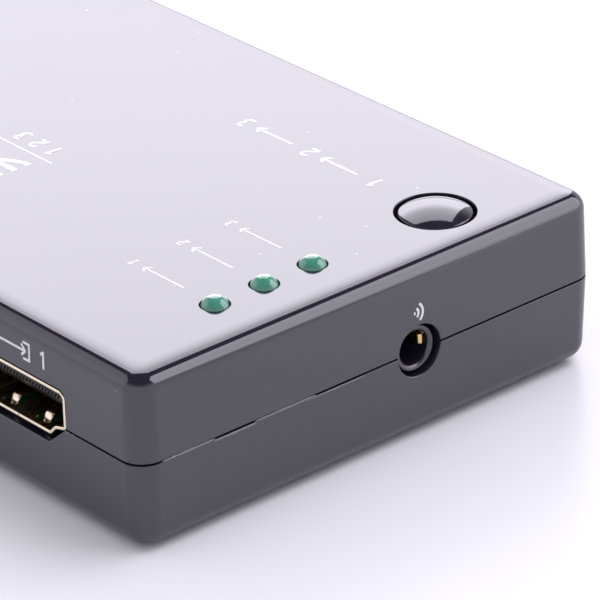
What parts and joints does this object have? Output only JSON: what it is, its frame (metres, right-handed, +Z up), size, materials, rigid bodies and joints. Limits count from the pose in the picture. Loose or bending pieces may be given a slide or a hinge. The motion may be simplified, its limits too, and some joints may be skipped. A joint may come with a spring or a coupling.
{
  "type": "hdmi switch box",
  "caption": "Small glossy black box that passes one of several HDMI inputs to one output, with a select button, round lights, a remote receiver jack and a power inlet.",
  "frame": {"origin": "under the middle of the case, on the plane that the feet rest on", "axes": "+X is the long way, away from the end with the lights and the receiver jack; +Y is the rear, with the inputs; +Z is up"},
  "size_m": [0.09, 0.06, 0.0202],
  "materials": {
    "case": "glossy black moulded plastic",
    "button": "glossy black moulded plastic",
    "feet": "matt black rubber",
    "board": "green solder mask on glass fibre",
    "connector_plastic": "black moulded plastic",
    "port_shell": "thin gold plate on bent steel",
    "contact_metal": "gold plated bronze",
    "tin": "tinned metal",
    "steel": "nickel plated steel",
    "led_plastic": "translucent green resin",
    "chip": "black moulding compound",
    "can": "plain drawn aluminium",
    "capacitor_ceramic": "fired ceramic"
  },
  "bodies": {
    "case": {"upper_shell": "case", "lower_shell": "case", "case_screws": "steel", "rubber_feet": "feet", "circuit_board": "board", "ir_jack_body": "connector_plastic", "ir_jack_contacts": "contact_metal", "dc_jack_body": "connector_plastic", "dc_jack_pin": "tin", "dc_jack_contact": "tin", "tact_base": "connector_plastic", "tact_cover": "steel", "tact_dome": "steel", "tact_terminals": "tin", "switch_chip_body": "chip", "switch_chip_leads": "tin", "control_chip_body": "chip", "control_chip_leads": "tin", "regulator_body": "chip", "regulator_leads": "tin", "crystal_can": "steel", "capacitor_cans": "can", "capacitor_bases": "chip", "chip_resistors": "chip", "chip_capacitors": "capacitor_ceramic", "led_1_lens": "led_plastic", "led_1_leads": "tin", "led_2_lens": "led_plastic", "led_2_leads": "tin", "led_3_lens": "led_plastic", "led_3_leads": "tin", "hdmi_in_1_shell": "port_shell", "hdmi_in_1_core": "connector_plastic", "hdmi_in_1_contacts": "contact_metal", "hdmi_in_2_shell": "port_shell", "hdmi_in_2_core": "connector_plastic", "hdmi_in_2_contacts": "contact_metal", "hdmi_in_3_shell": "port_shell", "hdmi_in_3_core": "connector_plastic", "hdmi_in_3_contacts": "contact_metal", "hdmi_out_shell": "port_shell", "hdmi_out_core": "connector_plastic", "hdmi_out_contacts": "contact_metal"},
    "button": {"select_button": "button"},
    "plunger": {"tact_plunger": "connector_plastic"}
  },
  "joints": [
    {"name": "button_press", "type": "slide", "parent": "case", "child": "button", "axis": [0, 0, -1], "range_m": [0, 0.0003], "stiffness_N_per_m": 1000},
    {"name": "plunger_press", "type": "slide", "parent": "case", "child": "plunger", "axis": [0, 0, -1], "range_m": [0, 0.0003], "deforming": ["tact_dome"]}
  ],
  "couplings": [
    {"joint": "plunger_press", "follows": "button_press", "ratio": 1}
  ]
}
